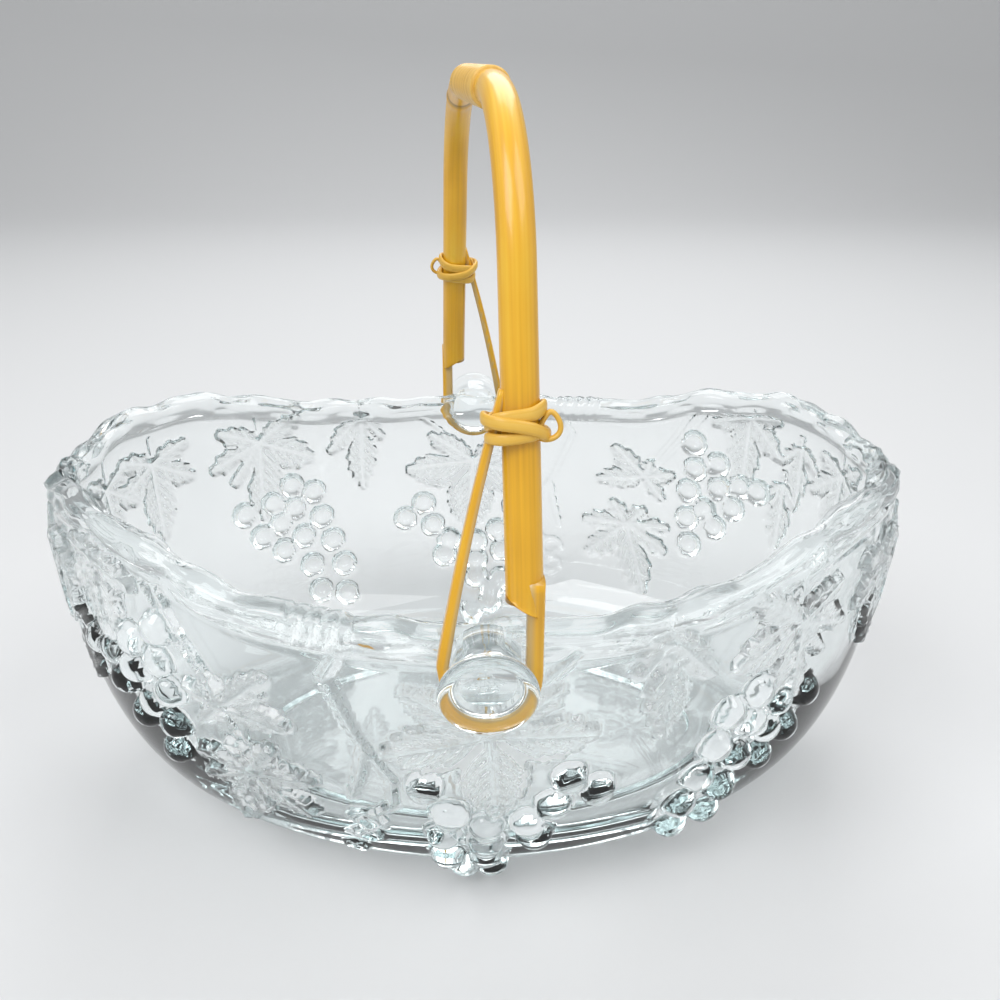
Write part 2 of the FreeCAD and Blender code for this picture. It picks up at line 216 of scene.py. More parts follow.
@dataclass(frozen=True)
class VineLeaf:
    """A toothed, lobed leaf that lies on the wall, with its place where the stem meets it."""

    angle: float
    height: float
    lobes: tuple[Lobe, ...]
    thickness: float = 1.7 * MM
    edge_round: float = 0.9 * MM
    lip_height: float = 0.3 * MM
    lip_inset: float = 1.2 * MM
    lip_width: float = 0.7 * MM
    frost_inset: float = 1.6 * MM
    bulge: float = 0.15
    tooth: float = 1.9 * MM
    tooth_run: float = 5.0 * MM
    notch_depth: float = 0.50
    stem_notch: float = 0.12
    stem_gap: float = 110.0
    side_vein_gap: float = 4.2 * MM
    vein_height: float = 1.1 * MM
    vein_width: float = 0.95 * MM

    def outline(self) -> np.ndarray:
        """The leaf's edge as a closed flat outline round the stem's end."""
        lobes = sorted(self.lobes, key=lambda lobe: lobe.direction)
        points: list[np.ndarray] = []
        for i, lobe in enumerate(lobes):
            before, after = lobes[i - 1], lobes[(i + 1) % len(lobes)]
            tip = self.polar(lobe.direction, lobe.reach)
            points += self.toothed_side(self.notch(before, lobe), tip, 1)
            points.append(tip)
            points += self.toothed_side(self.notch(lobe, after), tip, -1)[::-1]
        return np.array(points + points[:1])

    def polar(self, direction: float, reach: float) -> np.ndarray:
        """A flat point at a direction in degrees and a reach."""
        turn = math.radians(direction)
        return np.array([math.cos(turn), math.sin(turn)]) * reach

    def notch(self, first: Lobe, second: Lobe) -> np.ndarray:
        """The inner corner between a lobe and the next one round."""
        gap = (second.direction - first.direction) % 360
        depth = self.stem_notch if gap > self.stem_gap else self.notch_depth
        return self.polar(first.direction + gap / 2, min(first.reach, second.reach) * depth)

    def toothed_side(self, start: np.ndarray, tip: np.ndarray, turn: int) -> list[np.ndarray]:
        """A bulging, toothed edge from a notch to a lobe's tip, without the tip.

        Args:
            start: The notch.
            tip: The lobe's tip.
            turn: 1 where the outside is to the right of the way to the tip, else -1.

        Returns:
            The corners of the edge.
        """
        run = tip - start
        length = np.linalg.norm(run)
        outwards = np.array([run[1], -run[0]]) / length * turn
        teeth = max(2, round(length / self.tooth_run))
        corners = [start]
        for i in range(teeth):
            for share, out in ((0.86, 1.0), (1.0, 0.0)):
                along = (i + share) / teeth
                if along > 0.98:
                    break
                bulge = self.bulge * length * 4 * along * (1 - along) * (1.3 - 0.6 * along)
                corners.append(start + run * along + outwards * (bulge + self.tooth * out))
        return corners

    def veins(self) -> list[np.ndarray]:
        """Main veins out to each lobe, and side veins along them."""
        paths = []
        for lobe in self.lobes:
            tip = self.polar(lobe.direction, lobe.reach * 0.95)
            paths.append(np.array([[0.0, 0.0], tip]))
            count = int(lobe.reach / self.side_vein_gap)
            for i in range(1, count):
                root = tip * i / count
                for side in (-1, 1):
                    length = 0.42 * lobe.reach * (1 - 0.55 * i / count)
                    bend = self.polar(lobe.direction + side * 40, length * 0.55)
                    end = bend + self.polar(lobe.direction + side * 28, length * 0.45)
                    paths.append(np.array([root, root + bend, root + end]))
        return paths

    def press(self, sheet: ReliefSheet) -> None:
        """Raises the leaf on the sheet."""
        place, across, up = WALL.local_frame(self.angle, self.height)
        reach = max(lobe.reach for lobe in self.lobes) * 1.35
        index = sheet.near(place, reach)
        offset = sheet.points[index] - place
        flat = np.stack([offset @ across, offset @ up], axis=-1)
        outline = self.outline()
        edge, foot, _ = nearest_on_path(flat, outline)
        inside = inside_outline(flat, outline)
        sheet.slide[index[0][inside], index[1][inside]] = 0
        self.snap(sheet, index, flat, foot, edge, across, up)
        blade = self.thickness * smooth_rise(edge / self.edge_round)
        blade += self.lip_height * np.exp(-((edge - self.lip_inset) / self.lip_width) ** 2)
        body = blade.copy()
        polish = np.zeros_like(edge)
        for path in self.veins():
            distance, _, along = nearest_on_path(flat, path)
            main = len(path) == 2
            strength = self.vein_height * ((1.15 - 0.6 * along) if main else (0.62 - 0.4 * along))
            width = self.vein_width * (1.15 if main else 0.8)
            crest = np.exp(-((distance / width) ** 2))
            body = np.maximum(body, blade + strength * crest)
            polish = np.maximum(polish, crest * (0.9 if main else 0.65))
        body[~inside | (edge < 0.5 * sheet.cell)] = 0
        sheet.raise_to(index, body)
        frost = inside * smooth_rise(edge / self.frost_inset) * (1 - polish)
        sheet.frost[index] = np.maximum(sheet.frost[index] * ~inside, frost)

    def snap(self, sheet: ReliefSheet, index: tuple, flat: np.ndarray, foot: np.ndarray,
             edge: np.ndarray, across: np.ndarray, up: np.ndarray) -> None:
        """Slides the points beside the leaf's edge on to it, so that the edge is crisp."""
        close = edge < 0.5 * sheet.cell
        move = foot - flat
        rows, columns = index[0][close], index[1][close]
        sheet.slide[rows, columns] = move[close, :1] * across + move[close, 1:] * up


@dataclass(frozen=True)
class Grape:
    """One round berry on the wall."""

    x: float
    height: float
    radius: float = 5.7 * MM
    sink: float = 0.6 * MM

    def press(self, sheet: ReliefSheet) -> None:
        """Raises the berry on the sheet, over whatever lies under it."""
        angle = WALL.front_angle(self.x, self.height)
        place, across, up = WALL.local_frame(angle, self.height)
        index = sheet.near(place, self.radius * 1.5)
        offset = sheet.points[index] - place
        flat = np.stack([offset @ across, offset @ up], axis=-1)
        distance = np.linalg.norm(flat, axis=-1)
        foot_radius = math.sqrt(self.radius ** 2 - self.sink ** 2)
        close = np.abs(distance - foot_radius) < 0.5 * sheet.cell
        move = flat * (foot_radius / np.maximum(distance, 1e-6) - 1)[:, None]
        dome = np.sqrt(np.maximum(self.radius ** 2 - distance ** 2, 0)) - self.sink
        close &= sheet.height[index] < 0.4 * MM
        dome[close] = 0
        covers = dome > sheet.height[index]
        rows, columns = index[0][covers], index[1][covers]
        sheet.slide[rows, columns] = 0
        sheet.height[rows, columns] = dome[covers]
        sheet.frost[rows, columns] = 0
        rows, columns = index[0][close], index[1][close]
        sheet.slide[rows, columns] = move[close, :1] * across + move[close, 1:] * up


@dataclass(frozen=True)
class Ridge:
    """A stem, twig or tendril: a rounded ridge along a route on the wall."""

    route: tuple[tuple[float, float], ...]
    width: float = 2.4 * MM
    thickness: float = 1.3 * MM
    taper: float = 0.3

    def press(self, sheet: ReliefSheet) -> None:
        """Raises the ridge on the sheet."""
        route = np.array(self.route)
        steps = np.linspace(0, 1, 6 * len(route))
        stations = np.linspace(0, 1, len(route))
        angles = np.interp(steps, stations, route[:, 0])
        heights = np.interp(steps, stations, route[:, 1])
        path = WALL.point(angles, heights * MM)
        middle = path.mean(axis=0)
        reach = np.linalg.norm(path - middle, axis=1).max() + 2 * self.width
        index = sheet.near(middle, reach)
        distance, _, along = nearest_on_path(sheet.points[index], path)
        half = self.width / 2 * (1 - self.taper * along)
        body = self.thickness * np.sqrt(np.clip(1 - (distance / half) ** 2, 0, 1))
        sheet.raise_to(index, body)


@dataclass(frozen=True)
class Curl:
    """A small coiled tendril."""

    angle: float
    height: float
    radius: float
    width: float = 2.2 * MM
    thickness: float = 1.3 * MM

    def press(self, sheet: ReliefSheet) -> None:
        """Raises the coil on the sheet."""
        place, across, up = WALL.local_frame(self.angle, self.height)
        index = sheet.near(place, self.radius + 2 * self.width)
        offset = sheet.points[index] - place
        x, y = offset @ across, offset @ up
        share = (np.arctan2(y, x) + math.pi) / (2 * math.pi)
        coil = self.radius * (0.5 + 0.5 * share)
        distance = np.abs(np.hypot(x, y) - coil)
        body = self.thickness * np.sqrt(np.clip(1 - (2 * distance / self.width) ** 2, 0, 1))
        sheet.raise_to(index, body)


def vine_leaf(angle: float, height: float, lobes: dict[float, float]) -> VineLeaf:
    """A leaf from its place in degrees and millimetres, and its lobes' reaches in millimetres."""
    return VineLeaf(angle, height * MM, tuple(Lobe(way, reach * MM) for way, reach in lobes.items()))


LEAVES = (
    vine_leaf(270.5, 69.5, {150: 27, 197: 31, 274: 32, 355: 30, 35: 24}),
    vine_leaf(292.0, 94.0, {272: 34, 233: 15, 315: 22}),
    vine_leaf(311.0, 88.0, {25: 20, 341: 24, 311: 21, 273: 34, 205: 25, 147: 21}),
    vine_leaf(333.0, 91.0, {270: 31, 330: 20, 20: 17, 160: 17, 210: 20}),
    vine_leaf(345.5, 89.0, {268: 27, 325: 17, 215: 17, 150: 12, 30: 12}),
    vine_leaf(194.0, 92.0, {272: 30, 325: 18, 218: 19, 150: 13, 28: 13}),
    vine_leaf(239.0, 46.0, {317: 23, 0: 20, 53: 13, 135: 12, 175: 20, 206: 22, 248: 32}),
    vine_leaf(236.5, 68.0, {41: 20, 350: 22, 225: 13, 103: 9, 165: 14}),
    vine_leaf(217.5, 103.0, {343: 17, 172: 15, 222: 21, 270: 31}),
    vine_leaf(208.5, 80.0, {268: 28, 310: 13, 230: 12, 90: 6}),
    vine_leaf(205.5, 97.0, {268: 24, 315: 13, 225: 13, 90: 5}),
)

GRAPES = (
    (-91, 87), (-92, 76), (-100, 80), (-90, 66), (-101, 70), (-96, 59.5), (-90, 54), (-100, 53), (-91, 43),
    (-108, 73), (-106, 63), (-114, 73),
    (-17, 49), (-10, 38), (-12, 29), (0, 33), (0, 25), (-11, 17), (2, 5.5), (-6, 8), (12, 34), (14, 27.5),
    (23, 51), (31, 45), (19, 41), (0, 18), (-7, 12.6),
    (96, 59), (90, 48), (82, 40), (85.5, 61), (83, 51.5), (78, 67), (69.5, 62.6), (77, 57), (66.6, 51),
    (74, 44), (62.4, 40), (71, 31), (58, 29), (67.6, 20), (57, 17),
)

RIDGES = (
    Ridge(((228.5, 101), (231, 90), (234.5, 78), (236, 67))),
    Ridge(((226.0, 101), (229.5, 88), (233.5, 76), (236, 68)), width=1.8 * MM),
    Ridge(((236, 67), (237.5, 56), (239, 46)), width=2.0 * MM),
    Ridge(((254.5, 61), (253.5, 52), (252, 42)), width=4.2 * MM, thickness=1.7 * MM, taper=0.45),
    Ridge(((252.5, 92), (250.5, 84), (253.5, 66), (257.5, 50), (257, 40), (255, 36)), width=3.4 * MM,
          thickness=1.2 * MM),
    Ridge(((292, 100), (292, 93)), width=2.4 * MM),
    Ridge(((281, 92), (276, 82), (270.5, 69.5)), width=2.4 * MM),
    Ridge(((311, 100), (311, 88)), width=2.8 * MM),
    Ridge(((333, 102), (333, 91)), width=2.4 * MM),
    Ridge(((222, 104), (221, 92), (220, 80)), width=2.6 * MM),
    Ridge(((194, 103), (194, 92)), width=2.4 * MM),
    Ridge(((345.5, 101), (345.5, 89)), width=2.4 * MM),
)

CURLS = (
    Curl(253.5, 31.7 * MM, 5.0 * MM),
    Curl(253.0, 24.0 * MM, 4.2 * MM),
    Curl(250.0, 14.5 * MM, 3.6 * MM),
)


# Making of meshes

class Kit:
    """Operators that every sub-assembly uses."""

    @staticmethod
    def skin(bm: bmesh.types.BMesh, places: np.ndarray, marks: dict[str, np.ndarray] | None = None
             ) -> list[list[bmesh.types.BMVert]]:
        """A sheet that closes on itself sideways, shaped from a plain grid.

        Args:
            bm: The mesh that takes the sheet.
            places: The places of its points, by row and column.
            marks: Values or vectors for each point, by the name of their attribute.

        Returns:
            The sheet's rows of points.
        """
        rows, columns = places.shape[:2]
        for name, values in (marks or {}).items():
            kind = bm.verts.layers.float if values.ndim == 2 else bm.verts.layers.float_vector
            if kind.get(name) is None:
                kind.new(name)
        layers = []
        for name, values in (marks or {}).items():
            kind = bm.verts.layers.float if values.ndim == 2 else bm.verts.layers.float_vector
            layers.append((kind.get(name), values))
        grid = bmesh.ops.create_grid(bm, x_segments=columns, y_segments=rows - 1, size=0.5)["verts"]
        table: list[list] = [[None] * (columns + 1) for _ in range(rows)]
        for vert in grid:
            column = round((vert.co.x + 0.5) * columns)
            row = round((vert.co.y + 0.5) * (rows - 1))
            table[row][column] = vert
        for row, verts in enumerate(table):
            for column, vert in enumerate(verts):
                at = column % columns
                vert.co = places[row, at]
                for layer, values in layers:
                    value = values[row, at]
                    vert[layer] = float(value) if values.ndim == 2 else Vector(value)
        seam = {verts[-1]: verts[0] for verts in table}
        bmesh.ops.weld_verts(bm, targetmap=seam)
        return [verts[:-1] for verts in table]

    @staticmethod
    def ring_edges(verts: list[bmesh.types.BMVert]) -> list[bmesh.types.BMEdge]:
        """The edges that join a closed row of points."""
        chosen = set(verts)
        return list({edge for vert in verts for edge in vert.link_edges
                     if edge.other_vert(vert) in chosen})

    @staticmethod
    def cap(bm: bmesh.types.BMesh, verts: list[bmesh.types.BMVert]) -> None:
        """Closes a row of points with one face."""
        bmesh.ops.contextual_create(bm, geom=Kit.ring_edges(verts))

    @staticmethod
    def tube(bm: bmesh.types.BMesh, places: np.ndarray, marks: dict[str, np.ndarray] | None = None,
             closed: bool = False) -> None:
        """A tube from its rings of points, closed with end faces or joined end to start."""
        table = Kit.skin(bm, places, marks)
        if closed:
            bmesh.ops.bridge_loops(bm, edges=Kit.ring_edges(table[0]) + Kit.ring_edges(table[-1]))
        else:
            Kit.cap(bm, table[0])
            Kit.cap(bm, table[-1])

    @staticmethod
    def piece(name: str, bm: bmesh.types.BMesh, material: bpy.types.Material) -> bpy.types.Object:
        """Turns a finished bmesh into an object at the origin, smooth and facing outwards."""
        bmesh.ops.recalc_face_normals(bm, faces=bm.faces)
        for face in bm.faces:
            face.smooth = True
        mesh = bpy.data.meshes.new(name)
        bm.to_mesh(mesh)
        bm.free()
        mesh.materials.append(material)
        made = bpy.data.objects.new(name, mesh)
        bpy.context.scene.collection.objects.link(made)
        return made


@dataclass(frozen=True)
class Route:
    """A line through space with two directions square to it, for sweeping sections along."""

    points: np.ndarray
    across: np.ndarray
    rise: np.ndarray
    run: np.ndarray

    @classmethod
    def along(cls, points: np.ndarray, side: np.ndarray, closed: bool = False) -> "Route":
        """Builds the route from its points and a rough direction for its across axis.

        Args:
            points: The line's points.
            side: One rough across direction, or one for each point.
            closed: Whether the line joins up with its own start.

        Returns:
            The route with its directions and its running length.
        """
        if closed:
            tangent = np.roll(points, -1, axis=0) - np.roll(points, 1, axis=0)
        else:
            tangent = np.gradient(points, axis=0)
        tangent /= np.linalg.norm(tangent, axis=1)[:, None]
        side = np.broadcast_to(side, points.shape)
        across = side - (side * tangent).sum(axis=1)[:, None] * tangent
        across = across / np.linalg.norm(across, axis=1)[:, None]
        steps = np.linalg.norm(np.diff(points, axis=0), axis=1)
        return cls(points, across, np.cross(tangent, across), np.concatenate([[0], np.cumsum(steps)]))

    def rings(self, x: np.ndarray, y: np.ndarray) -> np.ndarray:
        """Points of sections along the route, from their offsets across and along the rise."""
        return (self.points[:, None] + x[..., None] * self.across[:, None]
                + y[..., None] * self.rise[:, None])


# Finishes

class Finish(Enum):
    """The record's material slots."""

    GLASS = "pressed_glass"
    BAMBOO = "bamboo"
    CANE = "cane"
    WINDING = "wound_cane"


@dataclass
class NodeBoard:
    """A material's node tree, with short ways to add and join nodes."""

    name: str
    material: bpy.types.Material = field(init=False)

    def __post_init__(self) -> None:
        """Starts with an empty tree."""
        self.material = bpy.data.materials.new(self.name)
        self.material.use_nodes = True
        self.material.node_tree.nodes.clear()

    def add(self, kind: str, **settings: object) -> bpy.types.Node:
        """Adds a node, and sets its properties or its inputs by name."""
        node = self.material.node_tree.nodes.new(kind)
        for key, value in settings.items():
            if hasattr(node, key):
                setattr(node, key, value)
            else:
                node.inputs[key.replace("_", " ").title()].default_value = value
        return node

    def join(self, source: bpy.types.NodeSocket, target: bpy.types.NodeSocket) -> None:
        """Joins two sockets."""
        self.material.node_tree.links.new(source, target)

    def ramp(self, source: bpy.types.NodeSocket, stops: list[tuple[float, tuple]]
             ) -> bpy.types.NodeSocket:
        """A colour ramp over a value."""
        node = self.add("ShaderNodeValToRGB")
        band = node.color_ramp
        while len(band.elements) < len(stops):
            band.elements.new(0.5)
        for element, (place, colour) in zip(band.elements, stops):
            element.position = place
            element.color = (*colour, 1)
        self.join(source, node.inputs["Fac"])
        return node.outputs["Color"]

    def between(self, source: bpy.types.NodeSocket, low: float, high: float) -> bpy.types.NodeSocket:
        """Maps a value from 0 to 1 on to a range."""
        node = self.add("ShaderNodeMapRange")
        node.inputs["To Min"].default_value = low
        node.inputs["To Max"].default_value = high
        self.join(source, node.inputs["Value"])
        return node.outputs["Result"]

    def noise(self, vector: bpy.types.NodeSocket, scale: tuple[float, float, float], detail: float
              ) -> bpy.types.NodeSocket:
        """A noise over scaled coordinates."""
        mapping = self.add("ShaderNodeMapping")
        mapping.inputs["Scale"].default_value = scale
        self.join(vector, mapping.inputs["Vector"])
        node = self.add("ShaderNodeTexNoise")
        node.inputs["Scale"].default_value = 1.0
        node.inputs["Detail"].default_value = detail
        self.join(mapping.outputs["Vector"], node.inputs["Vector"])
        return node.outputs["Fac"]

    def finish(self, shader: bpy.types.Node) -> bpy.types.Material:
        """Joins the shader to the surface output."""
        output = self.add("ShaderNodeOutputMaterial")
        self.join(shader.outputs[0], output.inputs["Surface"])
        return self.material


@dataclass(frozen=True)
class PressedGlass:
    """Clear pressed glass: bright and smooth, with finely stippled leaves."""

    tint: tuple[float, float, float] = (0.72, 0.86, 0.87)
    absorption: float = 9.0
    polish: float = 0.015
    stipple: float = 0.30
    clearness: float = 0.66
    body: tuple[float, float, float] = (0.97, 0.99, 0.99)
    index: float = 1.5
    grain: float = 1500.0
    grain_depth: float = 0.25 * MM
    grain_strength: float = 0.5

    def material(self) -> bpy.types.Material:
        """Builds the material."""
        board = NodeBoard(Finish.GLASS.value)
        shader = board.add("ShaderNodeBsdfPrincipled")
        shader.inputs["IOR"].default_value = self.index
        shader.inputs["Base Color"].default_value = (*self.body, 1)
        frost = board.add("ShaderNodeAttribute", attribute_name="frost")
        board.join(board.between(frost.outputs["Fac"], self.polish, self.stipple),
                   shader.inputs["Roughness"])
        board.join(board.between(frost.outputs["Fac"], 1.0, self.clearness),
                   shader.inputs["Transmission Weight"])
        place = board.add("ShaderNodeTexCoord").outputs["Object"]
        grain = board.noise(place, (self.grain,) * 3, 1.0)
        bump = board.add("ShaderNodeBump")
        bump.inputs["Distance"].default_value = self.grain_depth
        board.join(board.between(frost.outputs["Fac"], 0.0, self.grain_strength), bump.inputs["Strength"])
        board.join(grain, bump.inputs["Height"])
        board.join(bump.outputs["Normal"], shader.inputs["Normal"])
        material = board.finish(shader)
        volume = board.add("ShaderNodeVolumeAbsorption")
        volume.inputs["Color"].default_value = (*self.tint, 1)
        volume.inputs["Density"].default_value = self.absorption
        output = next(node for node in material.node_tree.nodes if node.type == "OUTPUT_MATERIAL")
        board.join(volume.outputs["Volume"], output.inputs["Volume"])
        return material


@dataclass(frozen=True)
class StreakedSkin:
    """Bamboo or cane: long streaks of colour under a clear gloss, from the piece's grain attribute."""

    finish: Finish
    dark: tuple[float, float, float]
    middle: tuple[float, float, float]
    light: tuple[float, float, float]
    roughness: float
    coat: float
    # Dark colour that is mixed in for real dark marks at the pole's nodes and for painted shade in the
    # grooves of the grip winding.
    node_mark_and_groove_shade_colour: tuple[float, float, float] = (0.16, 0.10, 0.03)
    cut_wood: tuple[float, float, float] = (0.66, 0.45, 0.17)
    coat_roughness: float = 0.12
    streak_strength: float = 0.25
    streak_depth: float = 0.08 * MM

    def material(self) -> bpy.types.Material:
        """Builds the material."""
        board = NodeBoard(self.finish.value)
        grain = board.add("ShaderNodeAttribute", attribute_name="grain").outputs["Vector"]
        streaks = board.noise(grain, (900, 900, 14), 3.0)
        clouds = board.noise(grain, (60, 60, 26), 2.0)
        blend = board.add("ShaderNodeMath", operation="MULTIPLY_ADD")
        board.join(streaks, blend.inputs[0])
        blend.inputs[1].default_value = 0.45
        board.join(board.between(clouds, -0.05, 0.6), blend.inputs[2])
        colour = board.ramp(blend.outputs[0], [(0.18, self.dark), (0.5, self.middle), (0.8, self.light)])
        # Mixes in the dark colour: real marks at the pole's nodes, and painted shade in the grooves
        # between the turns of the grip winding.
        age = board.add("ShaderNodeAttribute", attribute_name="age").outputs["Fac"]
        mix = board.add("ShaderNodeMix", data_type="RGBA")
        board.join(age, mix.inputs[0])
        board.join(colour, mix.inputs[6])
        mix.inputs[7].default_value = (*self.node_mark_and_groove_shade_colour, 1)
        pared = board.add("ShaderNodeAttribute", attribute_name="pared").outputs["Fac"]
        cut = board.add("ShaderNodeMix", data_type="RGBA")
        board.join(pared, cut.inputs[0])
        board.join(mix.outputs[2], cut.inputs[6])
        cut.inputs[7].default_value = (*self.cut_wood, 1)
        shader = board.add("ShaderNodeBsdfPrincipled")
        board.join(cut.outputs[2], shader.inputs["Base Color"])
        shader.inputs["Roughness"].default_value = self.roughness
        shader.inputs["Coat Weight"].default_value = self.coat
        shader.inputs["Coat Roughness"].default_value = self.coat_roughness
        bump = board.add("ShaderNodeBump")
        bump.inputs["Strength"].default_value = self.streak_strength
        bump.inputs["Distance"].default_value = self.streak_depth
        board.join(streaks, bump.inputs["Height"])
        board.join(bump.outputs["Normal"], shader.inputs["Normal"])
        return board.finish(shader)


# The glass bowl

@dataclass
class GlassBowl:
    """The pressed glass bowl with its vine, its branch rim and its two knobs, as one closed mesh."""

    columns: int = 720
    plain_columns: int = 240
    wall_rows: int = 104
    cell: float = 1.15 * MM
    roll_steps: int = 15
    roll_reach: float = 232.0
    wall_thickness: float = 4.5 * MM
    floor_thickness: float = 6.0 * MM
    foot_round: float = 1.2 * MM
    foot_ring: float = 9.0 * MM
    foot_recess: float = 1.2 * MM
    branch_radius: float = 4.3 * MM
    rim_heights: tuple[tuple[float, float], ...] = (
        (0, 105.5), (15, 109.5), (30, 111.5), (45, 107.0), (60, 99.0), (75, 96.6), (90, 96.2))
    twist: tuple[float, float] = (245.5, 253.5)
    knob_height: float = 92.5 * MM
    knob_reach: float = 13.0 * MM
    neck_radius: float = 9.0 * MM
    head_radius: float = 12.5 * MM
    head_thickness: float = 4.2 * MM
    head_tilt: float = 10.0
    head_dish: float = 1.2 * MM

    def rim_height(self, angle: np.ndarray) -> np.ndarray:
        """Height of the middle of the branch round the rim, in metres."""
        stations = np.array(self.rim_heights)
        folded = np.radians(stations[:, 0])
        waves = np.cos(2 * np.outer(folded, np.arange(len(stations))))
        weights = np.linalg.solve(waves, stations[:, 1])
        angle = np.radians(np.asarray(angle, float))
        smooth = sum(weight * np.cos(2 * k * angle) for k, weight in enumerate(weights))
        knobbly = 0.5 * np.sin(16 * angle + 0.6) + 0.4 * np.sin(22 * angle + 2.0)
        away = np.abs(np.cos(angle)) ** 0.5
        return (smooth + knobbly * away) * MM

    def bark(self, angle: np.ndarray, around: np.ndarray) -> np.ndarray:
        """How far the branch's bark stands out, by the angle round the bowl and round the branch.

        Args:
            angle: Angles round the bowl in degrees.
            around: Angles round the branch in radians, 0 at its outside and upwards from there.

        Returns:
            Heights in metres.
        """
        turn = np.radians(angle)
        knots = 0.50 * np.sin(28 * turn + 1.1 * np.sin(6 * turn)) + 0.32 * np.sin(46 * turn + 2.0)
        meander = 1.4 * np.sin(10 * turn + 0.7) + 0.8 * np.sin(26 * turn)
        ridges = 0.34 * np.sin(5.0 * around + meander) + 0.18 * np.sin(9.0 * around - 1.7 * meander)
        low, high = self.twist
        fold = angle % 180 + 180
        inside = (fold > low) & (fold < high)
        share = (fold - low) / (high - low)
        wraps = 0.75 * np.abs(np.sin(math.pi * (4 * share - around / math.pi * 1.1))) - 0.1
        body = np.where(inside, wraps, knots + ridges)
        return body * MM

    def outer_rows(self) -> tuple[np.ndarray, np.ndarray]:
        """Angles of the columns and the plain wall's points, row by row up to the branch's middle."""
        angle = np.arange(self.columns) * 360 / self.columns
        top = self.rim_height(angle)
        level = np.linspace(0, 1, self.wall_rows) ** 0.82
        heights = self.foot_round + level[:, None] * (top - self.foot_round)
        return angle, WALL.point(angle[None, :], heights)

    def normals(self, points: np.ndarray) -> np.ndarray:
        """Outward directions of the plain wall at each of its points."""
        across = np.roll(points, -1, axis=1) - np.roll(points, 1, axis=1)
        rise = np.gradient(points, axis=0)
        normal = np.cross(across, rise)
        return normal / np.linalg.norm(normal, axis=-1)[..., None]

    def relief(self, points: np.ndarray) -> ReliefSheet:
        """The vine: stems and tendrils first, then leaves, then grapes over them."""
        sheet = ReliefSheet(points, self.cell)
        for ridge in RIDGES:
            ridge.press(sheet)
        for curl in CURLS:
            curl.press(sheet)
        for leaf in LEAVES:
            leaf.press(sheet)
        for x, height in GRAPES:
            Grape(x * MM, height * MM).press(sheet)
        sheet.both_halves()
        return sheet

    def outer_skin(self) -> tuple[np.ndarray, np.ndarray]:
        """The outside from the foot over the branch to the inside, with its frost."""
        angle, points = self.outer_rows()
        normal = self.normals(points)
        sheet = self.relief(points)
        top = self.rim_height(angle)
        depth = top - points[..., 2]
        around = -depth / self.branch_radius
        near_rim = np.clip(1 - (depth - 3.6 * MM) / (1.6 * MM), 0, 1)
        groove = -0.5 * MM * np.exp(-((depth - 6.2 * MM) / (1.0 * MM)) ** 2)
        bare = np.clip(1 - sheet.height / (0.8 * MM), 0, 1)
        height = np.maximum(sheet.height, 0) + groove * bare + self.bark(angle, around) * near_rim
        wall = points + sheet.slide + normal * height[..., None]
        outwards = normal[-1] * np.array([1.0, 1.0, 0.0])
        outwards /= np.linalg.norm(outwards, axis=-1)[:, None]
        centre = points[-1] - outwards * self.branch_radius
        lift = np.array([0, 0, 1.0])
        roll = []
        steps = self.roll_steps
        for i in range(1, steps + 1):
            turn = math.radians(self.roll_reach) * i / steps
            share = 1.0 if i < steps - 1 else 0.3
            radius = self.branch_radius + self.bark(angle, np.full_like(angle, turn)) * share
            roll.append(centre + radius[:, None] * (outwards * math.cos(turn) + lift * math.sin(turn)))
        frost = np.concatenate([sheet.frost, np.zeros((steps, self.columns))])
        return np.concatenate([wall, np.stack(roll)]), frost

    def inner_skin(self) -> np.ndarray:
        """The inside, from under the branch down the wall and in over the floor."""
        angle = np.arange(self.plain_columns) * 360 / self.plain_columns
        top = self.rim_height(angle) - 6.2 * MM
        rows = []
        for level in np.linspace(1, 0, 34) ** 1.35:
            plain = level * WALL.full_height
            half_length, half_width = WALL.half_sizes(plain)
            height = self.floor_thickness + level * (top - self.floor_thickness)
            rows.append(WALL.oval(half_length - self.wall_thickness, half_width - self.wall_thickness,
                                  angle, height))
        half_length, half_width = WALL.half_sizes(0.0)
        for share in (0.97, 0.9, 0.75, 0.5, 0.25):
            rows.append(WALL.oval((half_length - self.wall_thickness) * share,
                                  (half_width - self.wall_thickness) * share, angle,
                                  np.full_like(angle, self.floor_thickness)))
        return np.stack(rows)

    def under_skin(self) -> np.ndarray:
        """The underside, from the foot's rounded edge in over the recess."""
        angle = np.arange(self.plain_columns) * 360 / self.plain_columns
        half_length, half_width = WALL.half_sizes(0.0)
        ring, deep, soft = self.foot_ring, self.foot_recess, self.foot_round
        profile = ((0.1 * soft, 0.5 * soft), (0.35 * soft, 0.15 * soft), (soft, 0.0),
                   (ring - 0.6 * MM, 0.0), (ring, 0.2 * MM), (ring + 1.0 * MM, deep),
                   (ring + 6 * MM, deep), (ring + 30 * MM, deep))
        return np.stack([WALL.oval(half_length - inset, half_width - inset, angle,
                                   np.full_like(angle, height)) for inset, height in profile])

